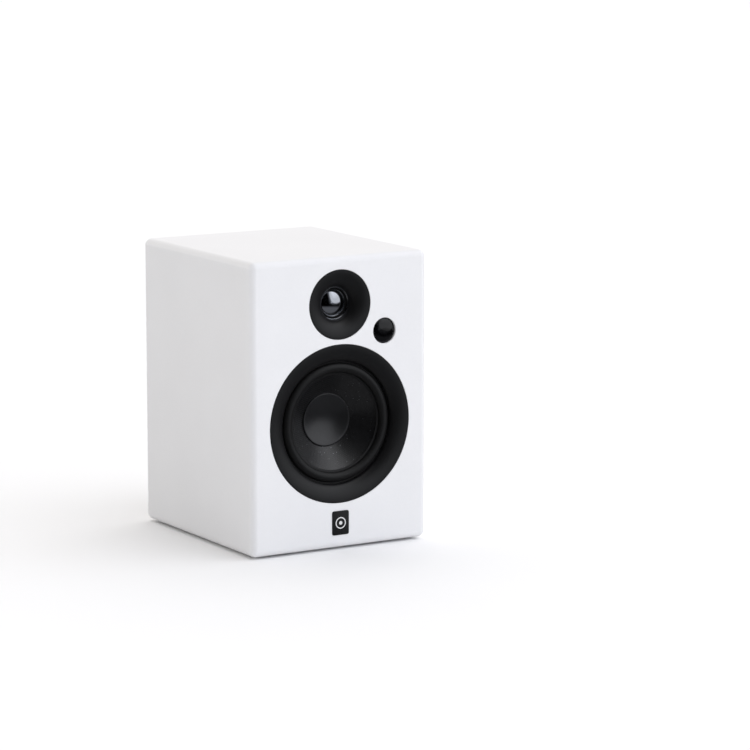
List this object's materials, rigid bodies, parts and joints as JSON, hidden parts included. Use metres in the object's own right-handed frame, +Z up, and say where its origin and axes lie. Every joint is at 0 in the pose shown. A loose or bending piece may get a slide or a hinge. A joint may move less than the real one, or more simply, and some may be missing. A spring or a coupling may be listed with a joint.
{
  "type": "bookshelf speaker",
  "caption": "White powered bookshelf speaker: rounded cabinet, woofer in a deep black trim ring, metal dome tweeter in a waveguide, round remote window, rear amplifier plate and port.",
  "frame": {"origin": "middle of the overall footprint, rear terminals included, on the ground under the feet", "axes": "+Z up, -Y towards the listener (the drivers face -Y), +X to the listener's right when facing the drivers"},
  "size_m": [0.192, 0.2366, 0.282],
  "materials": {
    "white_lacquer": "white satin lacquer on MDF",
    "raw_mdf": "raw MDF",
    "black_abs": "moulded satin ABS",
    "black_rubber": "moulded rubber",
    "woven_cone": "black woven composite",
    "dome_aluminium": "bright anodised",
    "gloss_acrylic": "polished acrylic",
    "zinc_steel": "zinc plated",
    "black_steel": "black passivated",
    "ferrite": "sintered",
    "copper": "enamelled copper winding",
    "spider_cloth": "phenolic-dipped cloth",
    "wadding": "polyester wadding",
    "black_plate": "black anodised",
    "bare_aluminium": "extruded",
    "circuit_board": "solder mask",
    "black_plastic": "moulded",
    "red_plastic": "moulded",
    "gold_brass": "gold plated",
    "wire_sheath": "extruded sheath"
  },
  "bodies": {
    "cabinet": {"front_baffle": "white_lacquer", "rear_panel": "white_lacquer", "top_panel": "white_lacquer", "bottom_panel": "white_lacquer", "left_panel": "white_lacquer", "right_panel": "white_lacquer", "window_brace": "raw_mdf", "woofer_trim_ring": "black_abs", "tweeter_waveguide": "black_abs", "badge": "black_abs", "bass_port": "black_abs", "foot_front_left": "black_rubber", "foot_front_right": "black_rubber", "foot_rear_left": "black_rubber", "foot_rear_right": "black_rubber", "remote_window": "gloss_acrylic", "woofer_top_plate": "zinc_steel", "woofer_yoke": "zinc_steel", "tweeter_top_plate": "zinc_steel", "tweeter_yoke": "zinc_steel", "tweeter_magnet": "zinc_steel", "woofer_basket": "black_steel", "woofer_screw_1": "black_steel", "woofer_screw_2": "black_steel", "woofer_screw_3": "black_steel", "woofer_screw_4": "black_steel", "woofer_magnet": "ferrite", "mains_transformer": "copper", "damping_liner": "wadding", "amp_plate": "black_plate", "heat_sink": "bare_aluminium", "amp_board": "circuit_board", "receiver_board": "circuit_board", "mains_inlet": "black_plastic", "switch_frame": "black_plastic", "volume_encoder": "black_plastic", "line_in_jacks": "black_plastic", "aux_jack": "black_plastic", "optical_jack": "black_plastic", "post_base_red": "gold_brass", "post_base_black": "gold_brass", "woofer_wire": "wire_sheath", "tweeter_wire": "wire_sheath"},
    "woofer_diaphragm": {"woofer_cone": "woven_cone", "woofer_dust_cap": "black_rubber", "woofer_voice_coil": "copper", "woofer_surround": "black_rubber", "woofer_spider": "spider_cloth"},
    "tweeter_diaphragm": {"tweeter_dome": "dome_aluminium", "tweeter_voice_coil": "copper", "tweeter_surround": "black_rubber"},
    "volume_knob_and_shaft": {"volume_knob": "black_plastic", "volume_shaft": "zinc_steel"},
    "pair_button": {"pair_button": "black_plastic"},
    "power_rocker": {"power_rocker": "black_plastic"},
    "optical_flap": {"optical_flap": "black_plastic"},
    "red_post_cap": {"post_cap_red": "red_plastic", "post_bush_red": "gold_brass"},
    "black_post_cap": {"post_cap_black": "black_plastic", "post_bush_black": "gold_brass"}
  },
  "joints": [
    {"name": "woofer_travel", "type": "slide", "parent": "cabinet", "child": "woofer_diaphragm", "axis": [0, -1, 0], "range_m": [-0.004, 0.004], "stiffness_N_per_m": 900, "deforming": ["woofer_surround", "woofer_spider"]},
    {"name": "tweeter_travel", "type": "slide", "parent": "cabinet", "child": "tweeter_diaphragm", "axis": [0, -1, 0], "range_m": [-0.0003, 0.0003], "stiffness_N_per_m": 600, "deforming": ["tweeter_surround"]},
    {"name": "volume_turn", "type": "hinge", "parent": "cabinet", "child": "volume_knob_and_shaft", "pos_m": [0.036, 0.1083, 0.15], "axis": [0, 1, 0], "continuous": true},
    {"name": "pair_button_press", "type": "slide", "parent": "cabinet", "child": "pair_button", "axis": [0, -1, 0], "range_m": [0, 0.0008], "stiffness_N_per_m": 250, "springref_m": -0.001},
    {"name": "power_rocker_tilt", "type": "hinge", "parent": "cabinet", "child": "power_rocker", "pos_m": [0.024, 0.0958, 0.054], "axis": [-1, 0, 0], "range_deg": [0, 16]},
    {"name": "optical_flap_swing", "type": "hinge", "parent": "cabinet", "child": "optical_flap", "pos_m": [-0.026, 0.0973, 0.1236], "axis": [-1, 0, 0], "range_deg": [0, 80], "stiffness_Nm_per_rad": 0.00002, "springref_deg": -17.19},
    {"name": "red_post_turn", "type": "hinge", "parent": "cabinet", "child": "red_post_cap", "pos_m": [0.04, 0.1103, 0.088], "axis": [0, 1, 0], "range_deg": [0, 1800]},
    {"name": "black_post_turn", "type": "hinge", "parent": "cabinet", "child": "black_post_cap", "pos_m": [0.021, 0.1103, 0.088], "axis": [0, 1, 0], "range_deg": [0, 1800]}
  ]
}
